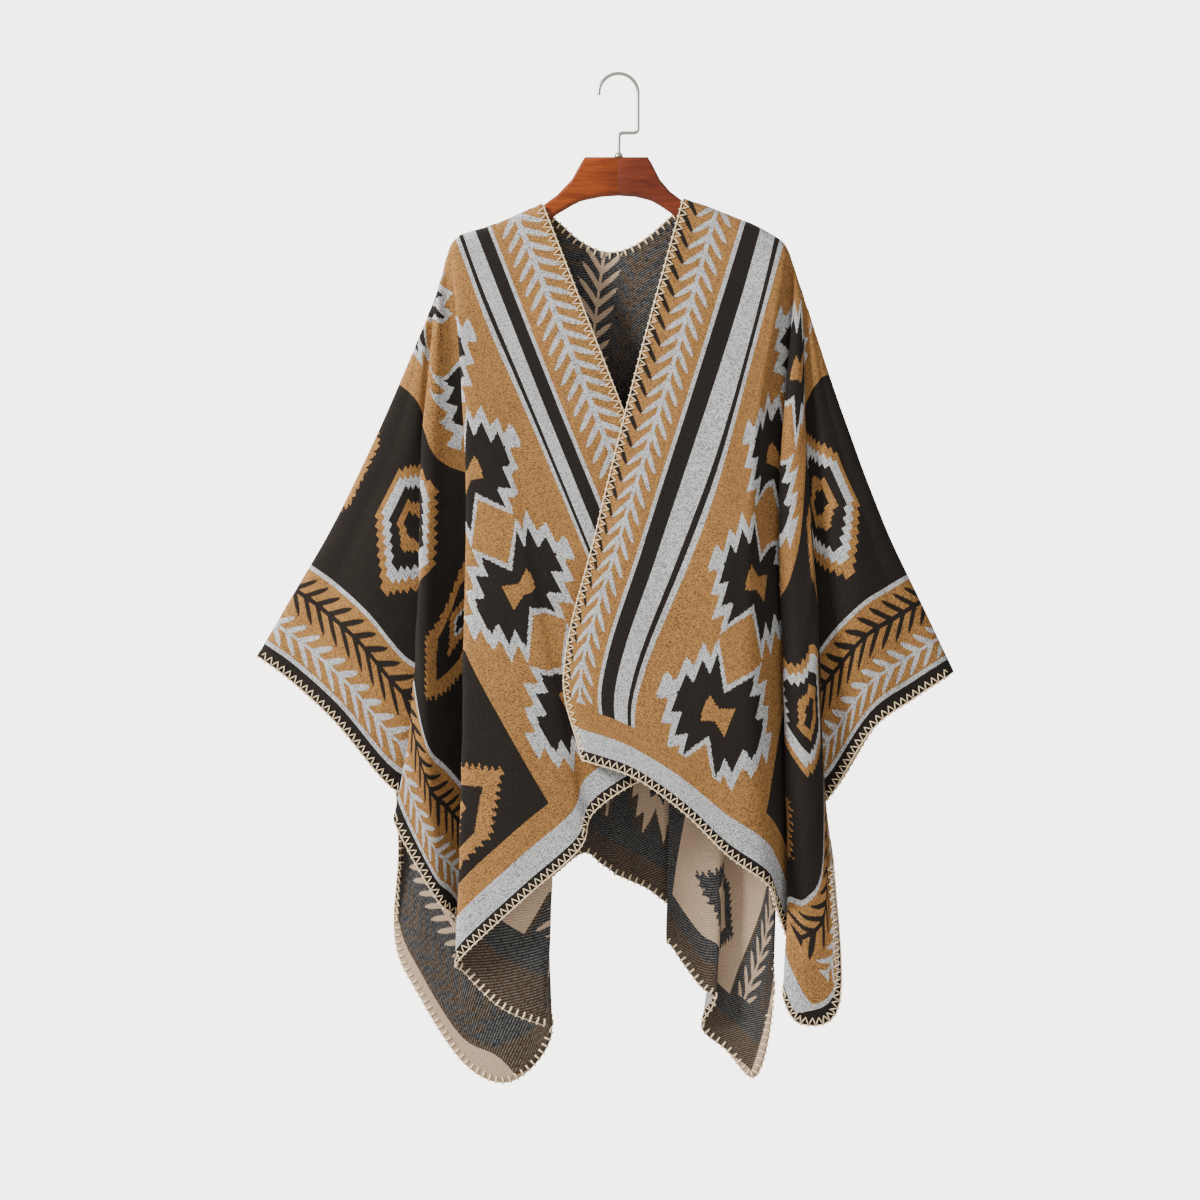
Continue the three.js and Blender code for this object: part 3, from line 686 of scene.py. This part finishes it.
    # the weave: single threads show through as specks, on the reverse in slanted ribs
    thread_length, thread_width, twill_slope = 0.95, 0.65, 0.6
    thread = nodes.new("ShaderNodeCombineXYZ")
    slanted_u = add(signed_u, maths("MULTIPLY", raw_v, twill_slope))
    links.new(cells(slanted_u, thread_length), thread.inputs["X"])
    links.new(cells(raw_v, thread_width), thread.inputs["Y"])
    chance = nodes.new("ShaderNodeTexWhiteNoise")
    links.new(thread.outputs["Vector"], chance.inputs["Vector"])
    if is_reverse:
        slanted_v = add(raw_v, maths("MULTIPLY", signed_u, twill_slope))
        twill = maths("PINGPONG", slanted_v, 1.4)
        shows = both(more(twill, 0.75), more(chance.outputs["Value"], 0.2))
    else:
        shows = more(chance.outputs["Value"], 0.6)
    speck_colour, speck_share = speck
    colour = painted(colour, speck_colour, maths("MULTIPLY", shows, speck_share))
    drift = nodes.new("ShaderNodeTexNoise")
    drift.inputs["Scale"].default_value = 1.1
    drift.inputs["Detail"].default_value = 4
    links.new(flat.outputs["UV"], drift.inputs["Vector"])
    shade = nodes.new("ShaderNodeHueSaturation")
    links.new(colour, shade.inputs["Color"])
    links.new(maths("MULTIPLY_ADD", drift.outputs["Fac"], 0.3, 0.85), shade.inputs["Value"])
    links.new(shade.outputs["Color"], skin.inputs["Base Color"])
    skin.inputs["Roughness"].default_value = 0.95
    skin.inputs["Specular IOR Level"].default_value = 0.16
    skin.inputs["Sheen Weight"].default_value = 0.05
    skin.inputs["Sheen Roughness"].default_value = 0.5
    rib = maths("PINGPONG", add(raw_v, maths("MULTIPLY", signed_u, 0.35)), 1.0)
    relief = add(rib, maths("MULTIPLY", chance.outputs["Value"], 0.7))
    bump = nodes.new("ShaderNodeBump")
    bump.inputs["Strength"].default_value = 0.5
    bump.inputs["Distance"].default_value = 0.0006
    links.new(relief, bump.inputs["Height"])
    links.new(bump.outputs["Normal"], skin.inputs["Normal"])
    return weave


cloth_mesh.materials.append(
    jacquard(
        "weave_face",
        (0.345, 0.168, 0.05, 1),
        (0.5, 0.503, 0.506, 1),
        (0.0115, 0.0088, 0.0072, 1),
        ((0.022, 0.016, 0.011, 1), 0.62),
        False,
    )
)
cloth_mesh.materials.append(
    jacquard(
        "weave_reverse",
        (0.02, 0.02, 0.0215, 1),
        (0.046, 0.024, 0.0095, 1),
        (0.55, 0.38, 0.245, 1),
        ((0.2, 0.19, 0.175, 1), 0.55),
        True,
    )
)
thick = cloth.modifiers.new("thick", "SOLIDIFY")
thick.thickness = 0.002
thick.offset = 0
thick.material_offset = 1
thick.material_offset_rim = 0
select_only(cloth)
bpy.ops.object.modifier_apply(modifier="thick")
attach(cloth, "root")
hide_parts("cloth_left_front", "cloth_right_front", "cloth_back")

# Edge stitching: a cream yarn sewn over the hems, the slit and the back neck. On the face it zigzags
# 8.6 mm deep with a thread along the edge, both 1.6 mm thick. On the reverse it shows as straight ticks,
# 2.5 mm thick, one every 8.8 mm.

# where the yarn goes: how far out over the edge, or how far in as a share of the depth, and how far
# above the cloth's middle; on the face also how far along the pitch
pitch, depth, yarn_radius, tick_radius, yarn_sides = 0.0088, 0.0086, 0.0008, 0.00125, 5
round_edge = [(0.0009, 0.0008), (0.0014, -0.0004), (0.0006, -0.0014)]
on_face = [(0.25, 0.5, 0.0017), (0.5, 1, 0.0014), (0.75, 0.5, 0.0017)]
on_reverse = [(0.42, -0.0016), (0.8, -0.0011)]
edge_out, edge_lift = 0.0004, 0.0012
too_far, too_short = 0.0025, 0.6
yarn_points, yarn_faces = [], []


def yarn_along(line, radius):
    """A closed round yarn through the points of line."""
    base = len(yarn_points)
    for k, p in enumerate(line):
        way = (line[min(k + 1, len(line) - 1)] - line[max(k - 1, 0)]).normalized()
        across = way.cross(Vector((0.31, 0.9, 0.29))).normalized()
        up = way.cross(across)
        for s in range(yarn_sides):
            angle = 2 * pi * s / yarn_sides
            yarn_points.append(p + (across * cos(angle) + up * sin(angle)) * radius)
    for k in range(len(line) - 1):
        for s in range(yarn_sides):
            a = base + k * yarn_sides + s
            b = base + k * yarn_sides + (s + 1) % yarn_sides
            yarn_faces.append((a, a + yarn_sides, b + yarn_sides, b))
    end = base + (len(line) - 1) * yarn_sides
    yarn_faces.append(list(range(base, base + yarn_sides)))
    yarn_faces.append(list(range(end + yarn_sides - 1, end - 1, -1)))


for (grid, side, outline_sign), normals in zip(sheets, sheet_normals):
    columns, rows = len(grid), len(row_places)
    tree_points = [Vector(place[:3]) for column in grid for place in column]
    tree_faces = [
        (i * rows + j, (i + 1) * rows + j, (i + 1) * rows + j + 1, i * rows + j + 1)
        for i in range(columns - 1)
        for j in range(rows - 1)
    ]
    tree = BVHTree.FromPolygons(tree_points, tree_faces)
    bottom = [(i, rows - 1, i, rows - 3) for i in range(columns)]
    if side < 0:
        slit = [(0, j, 2, j) for j in range(3, rows)]
        edges = [slit + bottom[1:]]
    else:
        first = next(k for k, fold in enumerate(back) if fold[0] == "neck_left")
        final = next(k for k, fold in enumerate(back) if fold[0] == "neck_right")
        start = first * back_steps + ridge_extra
        neck = [(i, 0, i, 4) for i in range(start, start + (final - first) * back_steps + 1)]
        edges = [bottom, neck]
    for edge in edges:
        spots = []
        for i, j, ni, nj in edge:
            inner = Vector(grid[ni][nj][:3]) - Vector(grid[i][j][:3])
            spots.append((Vector(grid[i][j][:3]), normals[ni][nj], inner))
        lengths = [0]
        for before, after in zip(spots, spots[1:]):
            lengths.append(lengths[-1] + (after[0] - before[0]).length)

        def at(distance):
            """The edge's point, face normal and inward way at a distance along it."""
            k = min(bisect_right(lengths, distance) - 1, len(lengths) - 2)
            share = (distance - lengths[k]) / max(lengths[k + 1] - lengths[k], 1e-9)
            share = min(max(share, 0), 1)
            p = spots[k][0].lerp(spots[k + 1][0], share)
            n = spots[k][1].lerp(spots[k + 1][1], share).normalized()
            inward = spots[k][2].lerp(spots[k + 1][2], share)
            tangent = (spots[k + 1][0] - spots[k][0]).normalized()
            column_way = inward.normalized()
            inward = (inward - n * inward.dot(n) - tangent * inward.dot(tangent)).normalized()
            return p, n, inward, column_way

        def onto_cloth(p, n, inward, column_way, reach, lift):
            """A point reach in from the edge, lift above the cloth's middle."""
            found, _, _, distance = tree.find_nearest(p + inward * reach)
            if distance > too_far or (found - p).length < reach * too_short:
                found = p + column_way * reach
            return found + n * lift

        stitches = max(2, floor(lengths[-1] / pitch))
        edge_line, zigzag = [], []
        for s in range(stitches):
            d = s * pitch
            for part in range(4):
                p, n, inward, _ = at(d + pitch * part / 4)
                edge_line.append(p - inward * edge_out + n * edge_lift)
            p, n, inward, _ = here = at(d)
            tick = [p - inward * out + n * lift for out, lift in round_edge]
            zigzag.append(tick[0])
            for share, reach, lift in on_face:
                zigzag.append(onto_cloth(*at(d + pitch * share), depth * reach, lift))
            tick += [onto_cloth(*here, depth * reach, lift) for reach, lift in on_reverse]
            yarn_along(tick, tick_radius)
        yarn_along(edge_line, yarn_radius)
        yarn_along(zigzag, yarn_radius)

stitch_mesh = bpy.data.meshes.new("edge_stitching")
stitch_mesh.from_pydata(yarn_points, [], yarn_faces)
for face in stitch_mesh.polygons:
    face.use_smooth = True
stitching = bpy.data.objects.new("edge_stitching", stitch_mesh)
bpy.context.collection.objects.link(stitching)
yarn = bpy.data.materials.new("cream_yarn")
yarn.use_nodes = True
yarn_skin = yarn.node_tree.nodes["Principled BSDF"]
yarn_skin.inputs["Roughness"].default_value = 0.85
yarn_skin.inputs["Base Color"].default_value = (0.8, 0.62, 0.39, 1)
stitch_mesh.materials.append(yarn)
select_only(stitching)
bpy.ops.object.mode_set(mode="EDIT")
bpy.ops.mesh.select_all(action="SELECT")
bpy.ops.mesh.normals_make_consistent(inside=False)
bpy.ops.object.mode_set(mode="OBJECT")
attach(stitching, "root")

# Stage: a plain pale floor below the cape, pale surroundings and soft studio lights. The surroundings
# are seen brighter than they light, the same from every side, like a studio's lit wall.
floor_size, floor_height = 2.4, -1.75
bpy.ops.object.select_all(action="DESELECT")
bpy.ops.mesh.primitive_plane_add(size=floor_size, location=(0, 0, floor_height))
studio_floor = bpy.context.object
studio_floor.name = "studio_floor"
pale = bpy.data.materials.new("pale_floor")
pale.use_nodes = True
pale_skin = pale.node_tree.nodes["Principled BSDF"]
pale_skin.inputs["Base Color"].default_value = (0.8, 0.79, 0.78, 1)
pale_skin.inputs["Roughness"].default_value = 0.9
studio_floor.data.materials.append(pale)

world = bpy.data.worlds.new("studio")
bpy.context.scene.world = world
world.use_nodes = True
air, air_links = world.node_tree.nodes, world.node_tree.links
room_light = air["Background"]
room_light.inputs["Color"].default_value = (0.95, 0.93, 0.91, 1)
room_light.inputs["Strength"].default_value = 0.78
backdrop = air.new("ShaderNodeBackground")
backdrop.inputs["Color"].default_value = (1.0, 0.955, 0.925, 1)
backdrop.inputs["Strength"].default_value = 5
seen = air.new("ShaderNodeLightPath")
blend = air.new("ShaderNodeMixShader")
air_links.new(seen.outputs["Is Camera Ray"], blend.inputs["Fac"])
air_links.new(room_light.outputs[0], blend.inputs[1])
air_links.new(backdrop.outputs[0], blend.inputs[2])
air_links.new(blend.outputs[0], air["World Output"].inputs["Surface"])

middle = Vector((-0.02, 0, -0.62))
for name, place, size, power in [
    ("key_light", (-2.5, -1.3, 0.9), 0.8, 225),
    ("fill_light", (1.9, -2.2, -0.2), 1.8, 2.6),
    ("back_light", (0.4, 2.2, 0.8), 1.6, 10),
]:
    lamp = bpy.data.lights.new(name, "AREA")
    lamp.energy = power
    lamp.size = size
    light = bpy.data.objects.new(name, lamp)
    bpy.context.collection.objects.link(light)
    light.location = place
    light.rotation_euler = (middle - Vector(place)).to_track_quat("-Z", "Y").to_euler()

# Camera: looks straight at the front from 3.5 m away, level with the middle of the picture.
view_x, view_distance, view_z = -0.0217, 3.5, -0.619
lens = bpy.data.cameras.new("camera")
lens.lens = 89
camera = bpy.data.objects.new("camera", lens)
bpy.context.collection.objects.link(camera)
camera.location = (view_x, -view_distance, view_z)
camera.rotation_euler = (pi / 2, 0, 0)
bpy.context.scene.camera = camera
